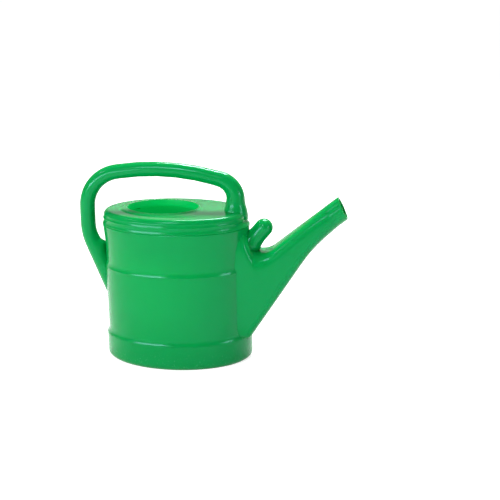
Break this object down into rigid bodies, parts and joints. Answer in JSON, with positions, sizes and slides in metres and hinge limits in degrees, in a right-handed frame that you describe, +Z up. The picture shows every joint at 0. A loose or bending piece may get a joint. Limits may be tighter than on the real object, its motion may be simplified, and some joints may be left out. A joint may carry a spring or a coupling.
{
  "type": "watering can",
  "caption": "Oval plastic watering can with an open filler mouth, a fixed loop handle over the deck, a long wedge-rooted spout with a plain tip, and a closed peg for parking a rose.",
  "frame": {"origin": "middle of the flat base, on the floor the can stands on", "axes": "+X towards the spout's mouth, +Y across the can, away from the side that the picture shows, +Z up"},
  "size_m": [0.4968, 0.1912, 0.3698],
  "materials": {
    "can_plastic": "satin-glossy moulded polyethylene, one green all over"
  },
  "bodies": {
    "root": {"base_pan": "can_plastic", "tank_wall": "can_plastic", "top_cover": "can_plastic", "spout": "can_plastic", "handle": "can_plastic", "rose_peg": "can_plastic"}
  },
  "joints": []
}
